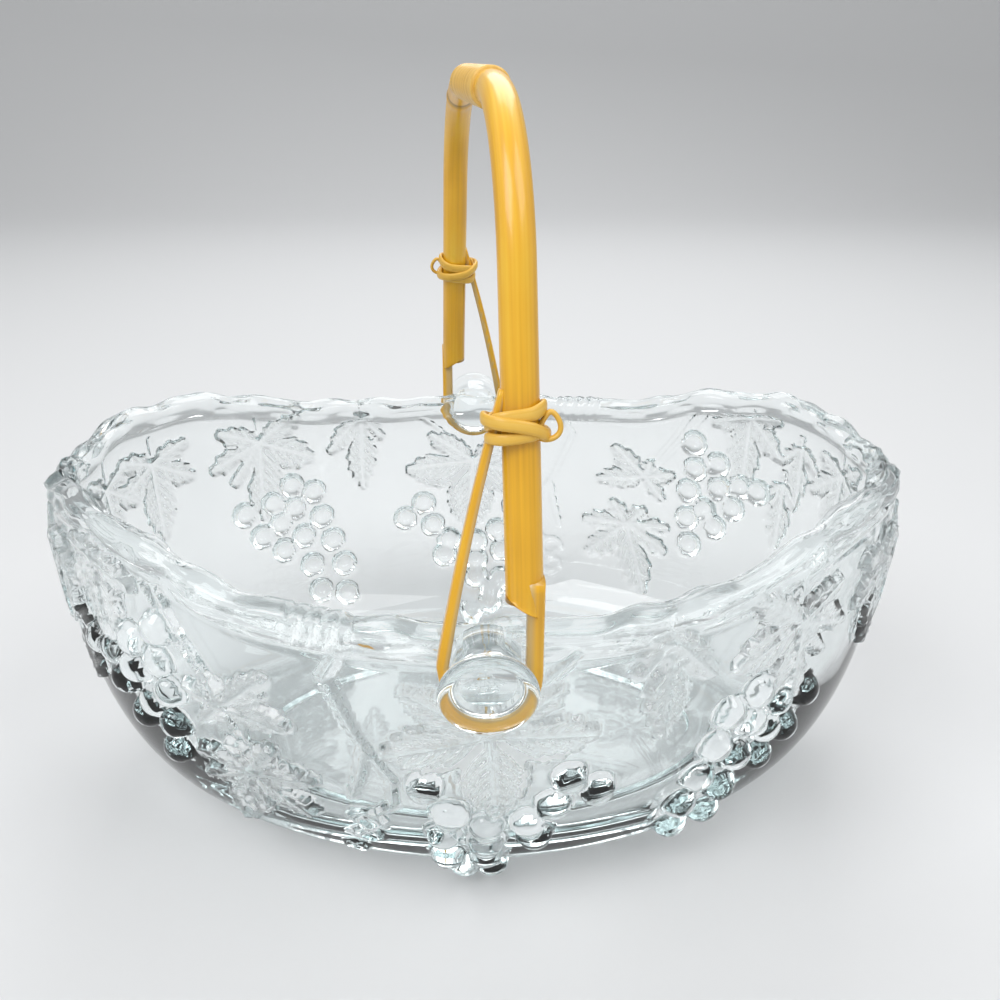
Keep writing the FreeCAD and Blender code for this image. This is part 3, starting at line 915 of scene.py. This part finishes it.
    def knob(self, turned: bool) -> bpy.types.Object:
        """A knob: a neck rooted in the wall and a tilted, dished head.

        Args:
            turned: Whether this is the rear knob, half a turn round.

        Returns:
            A closed object, for joining to the wall.
        """
        root = float(WALL.half_sizes(self.knob_height)[1]) - self.wall_thickness / 2
        head = WALL.width / 2 + self.knob_reach
        neck, wide, thick = self.neck_radius, self.head_radius, self.head_thickness
        profile = [(root, neck), (head - 3.4 * MM, neck), (head - 1.2 * MM, neck + 0.5 * MM),
                   (head, neck + 1.8 * MM)]
        for i in range(7):
            turn = math.pi * (i / 6)
            profile.append((head + thick * (0.5 - 0.5 * math.cos(turn)),
                            wide - 1.5 * MM + 1.5 * MM * math.sin(turn)))
        face, bottom = head + thick, head + thick - self.head_dish
        profile += [(face - 0.15 * MM, wide - 2.3 * MM), (face - 0.7 * MM, wide - 3.6 * MM),
                    (bottom, wide * 0.45), (bottom - 0.1 * MM, wide * 0.1)]
        segments = 72
        turns = np.arange(segments) * 2 * math.pi / segments
        rings = []
        for depth, radius in profile:
            out = depth - head
            bend = float(smooth_rise(np.array((out + 2.5 * MM) / (3 * MM))))
            lean = math.radians(self.head_tilt) * bend
            x, z = radius * np.cos(turns), radius * np.sin(turns)
            y = -(head + out * math.cos(lean) + z * math.sin(lean))
            height = self.knob_height + z * math.cos(lean) - out * math.sin(lean)
            rings.append(np.stack([x, y, height], axis=-1))
        bm = bmesh.new()
        Kit.tube(bm, np.stack(rings), {"frost": np.zeros((len(profile), segments))})
        if turned:
            bm.transform(HALF_TURN)
        return Kit.piece("knob", bm, bpy.data.materials.new("knob"))

    def build(self, material: bpy.types.Material) -> bpy.types.Object:
        """Builds the bowl as one closed mesh with its knobs grown into it."""
        bm = bmesh.new()
        outer, frost = self.outer_skin()
        outside = Kit.skin(bm, outer, {"frost": frost})
        inside = Kit.skin(bm, self.inner_skin())
        under = Kit.skin(bm, self.under_skin())
        bmesh.ops.bridge_loops(bm, edges=Kit.ring_edges(outside[-1]) + Kit.ring_edges(inside[0]))
        bmesh.ops.bridge_loops(bm, edges=Kit.ring_edges(outside[0]) + Kit.ring_edges(under[0]))
        Kit.cap(bm, inside[-1])
        Kit.cap(bm, under[-1])
        bowl = Kit.piece("pressed_glass_bowl", bm, material)
        for turned in (False, True):
            knob = self.knob(turned)
            joiner = bowl.modifiers.new("grown_knob", "BOOLEAN")
            joiner.operation = "UNION"
            joiner.solver = "EXACT"
            joiner.object = knob
            self.apply(bowl)
            bpy.data.objects.remove(knob)
        bowl.data.materials.clear()
        bowl.data.materials.append(material)
        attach(bowl, "bowl")
        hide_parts("glass_bowl")
        return bowl

    @staticmethod
    def apply(made: bpy.types.Object) -> None:
        """Makes an object's modifiers part of its mesh."""
        graph = bpy.context.evaluated_depsgraph_get()
        graph.update()
        mesh = bpy.data.meshes.new_from_object(made.evaluated_get(graph))
        made.modifiers.clear()
        made.data = mesh


# The bamboo handle

@dataclass
class BambooHandle:
    """The bent pole, with each end pared to a strip that loops under a knob and is tied back."""

    pole_radius: float = 4.7 * MM
    top: float = 230.0 * MM
    skew: float = 4.8
    lean: float = 15.0
    foot_rise: float = 21.0 * MM
    leg_bend: float = 60.0 * MM
    shoulder_bend: float = 50.0 * MM
    notch_rise: float = 18.0 * MM
    strip_width: float = 6.0 * MM
    strip_thickness: float = 2.6 * MM
    loop_radius: float = 9.4 * MM
    knob_height: float = 92.5 * MM
    tie_rise: float = 62.0 * MM
    tail: float = 8.0 * MM
    nodes: tuple[float, ...] = (0.655,)
    base: float = (98.5 + 13.0 - 0.8 - 3.0 - 1.5) * MM

    def skewed(self, points: np.ndarray) -> np.ndarray:
        """Points of the arch's own plane, turned about Z into place."""
        turn = math.radians(self.skew)
        x, y = points[..., 0], points[..., 1]
        return np.stack([x * math.cos(turn) - y * math.sin(turn),
                         x * math.sin(turn) + y * math.cos(turn), points[..., 2]], axis=-1)

    def corners(self) -> list[np.ndarray]:
        """Corner points of the arch in its own plane, from the front foot to the rear foot."""
        top = self.top - self.pole_radius
        foot = self.knob_height + self.foot_rise
        shoulder = self.base - (top - foot) * math.tan(math.radians(self.lean))
        start = self.knob_height + self.notch_rise
        front = ((-self.base, start), (-self.base, foot), (-shoulder, top))
        rear = ((shoulder, top), (self.base, foot), (self.base, start))
        return [np.array([0, y, z]) for y, z in front + rear]

    def arch(self, spacing: float) -> np.ndarray:
        """The arch's middle line as evenly spaced points, straight runs joined by bends."""
        corners = self.corners()
        bends = (self.leg_bend, self.shoulder_bend, self.shoulder_bend, self.leg_bend)
        line = [corners[0]]
        for before, corner, after, bend in zip(corners, corners[1:], corners[2:], bends):
            back, onward = before - corner, after - corner
            back, onward = back / np.linalg.norm(back), onward / np.linalg.norm(onward)
            half = math.acos(float(np.clip(back @ onward, -1, 1))) / 2
            middle = back + onward
            centre = corner + middle / np.linalg.norm(middle) * bend / math.sin(half)
            first = corner + back * bend / math.tan(half) - centre
            last = corner + onward * bend / math.tan(half) - centre
            sweep = math.pi - 2 * half
            for share in np.linspace(0, 1, 24):
                arm = first * math.sin((1 - share) * sweep) + last * math.sin(share * sweep)
                line.append(centre + arm / math.sin(sweep))
        line.append(corners[-1])
        points = self.skewed(np.array(line))
        run = np.concatenate([[0], np.cumsum(np.linalg.norm(np.diff(points, axis=0), axis=1))])
        places = np.linspace(0, run[-1], round(run[-1] / spacing))
        return np.stack([np.interp(places, run, points[:, axis]) for axis in range(3)], axis=-1)

    def leg_point(self, rise: float) -> np.ndarray:
        """Middle of the leaning front leg at a rise above the knobs."""
        height = self.knob_height + rise
        foot = self.knob_height + self.foot_rise
        y = -self.base + (height - foot) * math.tan(math.radians(self.lean))
        return self.skewed(np.array([0, y, height]))

    def pole(self, bm: bmesh.types.BMesh) -> None:
        """The round pole with its nodes, its ends cut on a slant."""
        points = self.arch(1.6 * MM)
        side = self.skewed(np.array([1.0, 0, 0]))
        route = Route.along(points, side)
        share = route.run / route.run[-1]
        segments = 36
        turns = np.arange(segments) * 2 * math.pi / segments
        radius = np.full(len(points), self.pole_radius) - 0.1 * MM
        age = np.zeros(len(points))
        # Real dark marks just below each node's swelling.
        for node in self.nodes:
            gap = (share - node) * route.run[-1]
            radius += 0.32 * MM * np.exp(-((gap - 0.9 * MM) / (1.3 * MM)) ** 2)
            radius -= 0.28 * MM * np.exp(-((gap + 1.5 * MM) / (0.9 * MM)) ** 2)
            age = np.maximum(age, 0.75 * np.exp(-((gap + 1.4 * MM) / (0.9 * MM)) ** 2))
        spread = radius[:, None] * (1 + 0.012 * np.sin(3 * turns + 1.0))
        places = route.rings(spread * np.cos(turns), spread * np.sin(turns))
        low = self.knob_height + self.notch_rise
        for end, step in ((0, 1), (len(points) - 1, -1)):
            slope = 1.15 if end == 0 else -1.15
            for ring in range(end, end + 8 * step, step):
                left = (places[ring] - points[ring]) @ side * slope
                floor = low - 1.0 * MM + (self.pole_radius * abs(slope) - left) * 0.55
                places[ring, :, 2] = np.maximum(places[ring, :, 2], floor)
        grain = np.stack(np.broadcast_arrays(spread * np.cos(turns), spread * np.sin(turns),
                                             route.run[:, None]), axis=-1)
        marks = {"grain": grain, "age": np.repeat(age[:, None], segments, axis=1),
                 "pared": np.zeros((len(points), segments))}
        Kit.tube(bm, places, marks)

    def strip_line(self) -> tuple[np.ndarray, np.ndarray]:
        """The strip's inner line from the pole's side down, under the neck and up, and its thickness."""
        base, knob, inner = -self.base, self.knob_height, self.loop_radius
        line, thick = [], []
        for height in np.linspace(self.notch_rise + 9 * MM, 1.0 * MM, 12):
            line.append((inner, base, knob + height))
            thick.append(4.3 * MM)
        for turn in np.linspace(0, math.pi, 30):
            line.append((inner * math.cos(turn), base, knob - inner * math.sin(turn)))
            thick.append(self.strip_thickness + 1.6 * MM * (1 - turn / math.pi) ** 0.8)
        tie = self.leg_point(self.tie_rise)
        low = np.array([-inner - 0.1 * MM, base, knob + 4 * MM])
        high = tie + np.array([-self.pole_radius - 0.1 * MM, 0, 0])
        end = high + (high - low) / np.linalg.norm(high - low) * self.tail
        for share in np.linspace(0, 1, 40):
            bow = 1.4 * MM * math.sin(math.pi * share)
            place = low + (end - low) * share
            line.append((place[0] - bow * 0.6, place[1], place[2]))
            thick.append(self.strip_thickness * (1.2 - 0.42 * share))
        return np.array(line), np.array(thick)

    def strip(self, bm: bmesh.types.BMesh) -> None:
        """The pared strip as a flat band with softly rounded edges."""
        line, thick = self.strip_line()
        route = Route.along(line, np.array([0, 1.0, 0]))
        share = route.run / route.run[-1]
        half = self.strip_width / 2 * (1 - 0.45 * np.clip((share - 0.5) * 2, 0, 1))
        segments = 20
        turns = np.arange(segments) * 2 * math.pi / segments
        x = np.sign(np.cos(turns)) * np.abs(np.cos(turns)) ** 0.35
        y = np.sign(np.sin(turns)) * np.abs(np.sin(turns)) ** 0.5
        middle = line + self.outward(line) * (thick / 2)[:, None]
        centred = Route(middle, route.across, route.rise, route.run)
        wide, deep = half[:, None] * x, thick[:, None] / 2 * y
        places = centred.rings(wide, deep)
        grain = np.stack(np.broadcast_arrays(wide, deep, route.run[:, None]), axis=-1)
        outside = ((places - middle[:, None]) * self.outward(line)[:, None]).sum(axis=-1) > 0
        pared = np.where(outside, 0.0, 0.9)
        Kit.tube(bm, places, {"grain": grain, "age": np.zeros(places.shape[:2]), "pared": pared})

    def outward(self, line: np.ndarray) -> np.ndarray:
        """Directions away from the knob, square to the strip, in the plane of the loop."""
        tangent = np.gradient(line, axis=0)
        tangent /= np.linalg.norm(tangent, axis=1)[:, None]
        away = np.stack([-tangent[:, 2], np.zeros(len(line)), tangent[:, 0]], axis=-1)
        away /= np.linalg.norm(away, axis=1)[:, None]
        return away

    def build(self, material: bpy.types.Material) -> bpy.types.Object:
        """Builds the handle."""
        bm = bmesh.new()
        self.pole(bm)
        self.strip(bm)
        turned = bmesh.new()
        self.strip(turned)
        turned.transform(HALF_TURN)
        spare = bpy.data.meshes.new("turned_strip")
        turned.to_mesh(spare)
        turned.free()
        bm.from_mesh(spare)
        bpy.data.meshes.remove(spare)
        handle = Kit.piece("bent_bamboo_handle", bm, material)
        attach(handle, "handle")
        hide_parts("bamboo_handle")
        return handle


@dataclass
class CaneTie:
    """Split cane, wound round the pole and the strip's end and tucked under itself."""

    handle: BambooHandle
    thickness: float = 1.5 * MM
    strands: tuple[tuple[float, ...], ...] = (
        (2.2, 1.7, 0.15, 3.4), (-0.3, -2.0, 0.95, 3.1), (-2.6, 0.6, 0.1, 2.8))

    def strand(self, bm: bmesh.types.BMesh, rise: float, slope: float, stand_off: float,
               width: float) -> None:
        """One closed turn of cane.

        Args:
            bm: The mesh that takes the strand.
            rise: Height of its middle above the tie's middle.
            slope: How much it climbs from its left side to its right side.
            stand_off: How far it lies off the pole.
            width: The cane's width.
        """
        half_span = self.handle.strip_thickness * 0.45
        radius = self.handle.pole_radius + self.thickness / 2 + stand_off
        turns = np.linspace(0, 2 * math.pi, 72, endpoint=False)
        flat = np.sign(np.cos(turns)) * np.minimum(1, np.abs(np.cos(turns)) * 3)
        x = radius * np.cos(turns) + half_span * flat
        y = radius * np.sin(turns)
        z = rise + slope * np.cos(turns) + 0.25 * MM * np.sin(3 * turns + rise * 900)
        lean = math.radians(self.handle.lean)
        local = np.stack([x - half_span, y * math.cos(lean) + z * math.sin(lean),
                          -y * math.sin(lean) + z * math.cos(lean)], axis=-1)
        points = self.handle.leg_point(self.handle.tie_rise) + self.handle.skewed(local)
        axis = self.handle.skewed(np.array([0, math.sin(lean), math.cos(lean)]))
        route = Route.along(points, axis, closed=True)
        section = np.arange(14) * 2 * math.pi / 14
        wide = width / 2 * np.sign(np.cos(section)) * np.abs(np.cos(section)) ** 0.6
        deep = self.thickness / 2 * np.sin(section)
        shape = (len(points), len(section))
        places = route.rings(np.broadcast_to(wide, shape), np.broadcast_to(deep, shape))
        grain = np.stack(np.broadcast_arrays(wide, deep, route.run[:, None]), axis=-1)
        marks = {"grain": grain, "age": np.zeros(shape), "pared": np.zeros(shape)}
        Kit.tube(bm, places, marks, closed=True)

    def nub(self, bm: bmesh.types.BMesh) -> None:
        """The loop that stands out on the right, and the cut end beside it."""
        centre = self.handle.leg_point(self.handle.tie_rise) + np.array([6.6, -2.2, 0.4]) * MM
        turns = np.linspace(0, 2 * math.pi, 40, endpoint=False)
        x = 2.4 * MM * np.cos(turns) - 0.5 * MM * np.sin(2 * turns)
        z = 3.0 * MM * np.sin(turns) + 0.7 * MM * np.cos(turns)
        points = centre + np.stack([x, 0.9 * MM * np.sin(turns), z], axis=-1)
        route = Route.along(points, np.array([0, 1.0, 0]), closed=True)
        section = np.arange(12) * 2 * math.pi / 12
        shape = (len(points), len(section))
        wide = np.broadcast_to(0.95 * MM * np.cos(section), shape)
        deep = np.broadcast_to(0.65 * MM * np.sin(section), shape)
        grain = np.stack(np.broadcast_arrays(wide, deep, route.run[:, None]), axis=-1)
        marks = {"grain": grain, "age": np.zeros(shape), "pared": np.zeros(shape)}
        Kit.tube(bm, route.rings(wide, deep), marks, closed=True)

    def build(self, node: str, name: str, turned: bool, material: bpy.types.Material) -> bpy.types.Object:
        """Builds one tie.

        Args:
            node: The solid that it stands for.
            name: The piece's name.
            turned: Whether it is the rear one, half a turn round.
            material: Its finish.

        Returns:
            The tie.
        """
        bm = bmesh.new()
        for rise, slope, stand_off, width in self.strands:
            self.strand(bm, rise * MM, slope * MM, stand_off * MM, width * MM)
        self.nub(bm)
        if turned:
            bm.transform(HALF_TURN)
        tie = Kit.piece(name, bm, material)
        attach(tie, "handle")
        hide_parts(node)
        return tie


@dataclass
class GripWinding:
    """Fine cane wound closely round the top of the arch."""

    handle: BambooHandle
    half_length: float = 34.0 * MM
    pitch: float = 1.35 * MM
    thickness: float = 0.9 * MM

    def build(self, material: bpy.types.Material) -> bpy.types.Object:
        """Builds the winding as one ridged sleeve round the arch."""
        points = self.handle.arch(0.17 * MM)
        run = np.concatenate([[0], np.cumsum(np.linalg.norm(np.diff(points, axis=0), axis=1))])
        keep = np.abs(run - run[-1] / 2) < self.half_length
        points, run = points[keep], run[keep] - run[-1] / 2
        route = Route.along(points, self.handle.skewed(np.array([1.0, 0, 0])))
        segments = 40
        turns = np.arange(segments) * 2 * math.pi / segments
        phase = run[:, None] / self.pitch - turns / (2 * math.pi)
        ridge = np.abs(np.sin(math.pi * phase)) ** 0.55
        fade = np.clip((self.half_length - np.abs(run)) / (0.5 * MM), 0, 1)[:, None]
        inner = self.handle.pole_radius - 0.15 * MM
        radius = inner + (0.15 * MM + self.thickness * (0.62 + 0.38 * ridge)) * fade ** 0.5
        x, y = radius * np.cos(turns), radius * np.sin(turns)
        strip = phase.round() * self.pitch * 9
        grain = np.stack(np.broadcast_arrays(x, strip, turns * self.handle.pole_radius), axis=-1)
        # Painted shade: the cane is coloured darker in the grooves between its turns, darkest at the
        # bottom of each groove.
        age = 0.5 * (1 - ridge) ** 2
        bm = bmesh.new()
        Kit.tube(bm, route.rings(x, y), {"grain": grain, "age": age, "pared": np.zeros(x.shape)})
        winding = Kit.piece("grip_winding", bm, material)
        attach(winding, "handle")
        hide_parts("grip_wrap")
        return winding


# Stage and camera

@dataclass(frozen=True)
class Lamp:
    """A soft square lamp."""

    name: str
    place: tuple[float, float, float]
    size: float
    power: float


@dataclass
class Studio:
    """A plain pale floor, a pale world, soft lamps and the camera."""

    floor_width: float = 8.0
    floor_depth: float = 3.5
    floor_front: float = 1.6
    backdrop_distance: float = 1.3
    backdrop_bend: float = 0.7
    backdrop_height: float = 1.8
    floor_colour: tuple[float, float, float] = (0.70, 0.71, 0.72)
    backdrop: tuple[float, float, float] = (0.86, 0.87, 0.88)
    sky_strength: float = 0.45
    focal_length: float = 36.0
    camera_place: tuple[float, float, float] = (-5.8 * MM, -314.9 * MM, 232.4 * MM)
    camera_pitch: float = 24.035
    camera_heading: float = -2.364
    camera_roll: float = 0.341
    shift_y: float = 0.00404
    aim_height: float = 0.1
    light_turns: int = 32
    matt_turns: int = 2
    lamps: tuple[Lamp, ...] = (
        Lamp("key_lamp", (-0.6, -0.55, 1.15), 0.8, 9.0),
        Lamp("fill_lamp", (0.6, -0.35, 1.1), 0.7, 4.5),
        Lamp("back_lamp", (0.1, 0.95, 1.1), 1.0, 8.0),
    )

    def floor(self) -> None:
        """The floor, which shows the object's shadow and bends up into the backdrop."""
        bm = bmesh.new()
        rows = 60
        bmesh.ops.create_grid(bm, x_segments=1, y_segments=rows, size=0.5)
        for vert in bm.verts:
            run = (vert.co.y + 0.5) * (self.floor_depth + self.backdrop_height) - self.floor_front
            over = max(0.0, run - self.backdrop_distance)
            turn = min(over / self.backdrop_bend, math.pi / 2)
            straight = max(0.0, over - self.backdrop_bend * math.pi / 2)
            rise = self.backdrop_bend * (1 - math.cos(turn)) + straight
            depth = min(run, self.backdrop_distance) + self.backdrop_bend * math.sin(turn)
            vert.co = (vert.co.x * self.floor_width, depth, rise - 0.2 * MM)
        board = NodeBoard("studio_floor")
        shader = board.add("ShaderNodeBsdfPrincipled")
        shader.inputs["Base Color"].default_value = (*self.floor_colour, 1)
        shader.inputs["Roughness"].default_value = 0.6
        Kit.piece("studio_floor", bm, board.finish(shader))

    def sky(self) -> None:
        """A pale backdrop for camera, mirror and glass rays, and a dimmer light on the object."""
        world = bpy.data.worlds.new("studio")
        bpy.context.scene.world = world
        world.use_nodes = True
        tree = world.node_tree
        tree.nodes.clear()
        rays = tree.nodes.new("ShaderNodeLightPath")
        seen = rays.outputs["Is Camera Ray"]
        for kind in ("Is Glossy Ray", "Is Transmission Ray"):
            either = tree.nodes.new("ShaderNodeMath")
            either.operation = "MAXIMUM"
            tree.links.new(seen, either.inputs[0])
            tree.links.new(rays.outputs[kind], either.inputs[1])
            seen = either.outputs[0]
        mix = tree.nodes.new("ShaderNodeMixShader")
        tree.links.new(seen, mix.inputs["Fac"])
        for slot, colour, strength in ((1, (1, 1, 1), self.sky_strength), (2, self.backdrop, 1.0)):
            light = tree.nodes.new("ShaderNodeBackground")
            light.inputs["Color"].default_value = (*colour, 1)
            light.inputs["Strength"].default_value = strength
            tree.links.new(light.outputs[0], mix.inputs[slot])
        output = tree.nodes.new("ShaderNodeOutputWorld")
        tree.links.new(mix.outputs[0], output.inputs["Surface"])

    def light(self) -> None:
        """The lamps, each turned towards the basket."""
        for lamp in self.lamps:
            data = bpy.data.lights.new(lamp.name, "AREA")
            data.size = lamp.size
            data.energy = lamp.power
            made = bpy.data.objects.new(lamp.name, data)
            made.location = lamp.place
            aim = Vector((0, 0, self.aim_height)) - Vector(lamp.place)
            made.rotation_euler = aim.to_track_quat("-Z", "Y").to_euler()
            bpy.context.scene.collection.objects.link(made)

    def camera(self) -> None:
        """The camera, as it stood when the photograph was taken."""
        data = bpy.data.cameras.new("camera")
        data.lens = self.focal_length
        data.sensor_width = 36.0
        data.shift_y = self.shift_y
        data.clip_start = 0.01
        made = bpy.data.objects.new("camera", data)
        made.location = self.camera_place
        pitch, heading = math.radians(90 - self.camera_pitch), math.radians(self.camera_heading)
        level = Euler((pitch, 0, heading)).to_matrix()
        roll = Matrix.Rotation(math.radians(self.camera_roll), 3, "Z")
        made.rotation_euler = (level @ roll).to_euler()
        bpy.context.scene.collection.objects.link(made)
        bpy.context.scene.camera = made

    def paths(self) -> None:
        """Lets light turn often enough inside the glass, where too few turns leave black berries."""
        settings = bpy.context.scene.cycles
        settings.max_bounces = self.light_turns
        settings.transmission_bounces = self.light_turns
        settings.glossy_bounces = self.light_turns // 3
        settings.diffuse_bounces = self.matt_turns

    def build(self) -> None:
        """Sets up the whole studio."""
        bpy.context.scene.view_settings.view_transform = "Standard"
        self.paths()
        self.floor()
        self.sky()
        self.light()
        self.camera()


def main() -> None:
    """Builds the basket and the studio, and notes how many faces each built piece has."""
    logging.basicConfig(level=logging.INFO, format="%(name)s: %(message)s")
    bamboo = StreakedSkin(Finish.BAMBOO, (0.56, 0.26, 0.005), (0.84, 0.44, 0.012), (0.95, 0.62, 0.05),
                          roughness=0.33, coat=0.35)
    cane = StreakedSkin(Finish.CANE, (0.54, 0.28, 0.02), (0.80, 0.47, 0.06), (0.92, 0.64, 0.16),
                        roughness=0.42, coat=0.2)
    wound = StreakedSkin(Finish.WINDING, (0.50, 0.26, 0.03), (0.78, 0.46, 0.08), (0.90, 0.63, 0.19),
                         roughness=0.42, coat=0.2)
    handle = BambooHandle()
    tie = CaneTie(handle)
    cane_material = cane.material()
    pieces = [
        GlassBowl().build(PressedGlass().material()),
        handle.build(bamboo.material()),
        tie.build("front_tie", "cane_tie_front", False, cane_material),
        tie.build("rear_tie", "cane_tie_rear", True, cane_material),
        GripWinding(handle).build(wound.material()),
    ]
    for piece in pieces:
        log.info("%s: %d faces", piece.name, len(piece.data.polygons))
    Studio().build()
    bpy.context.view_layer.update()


if __name__ == "__main__":
    main()
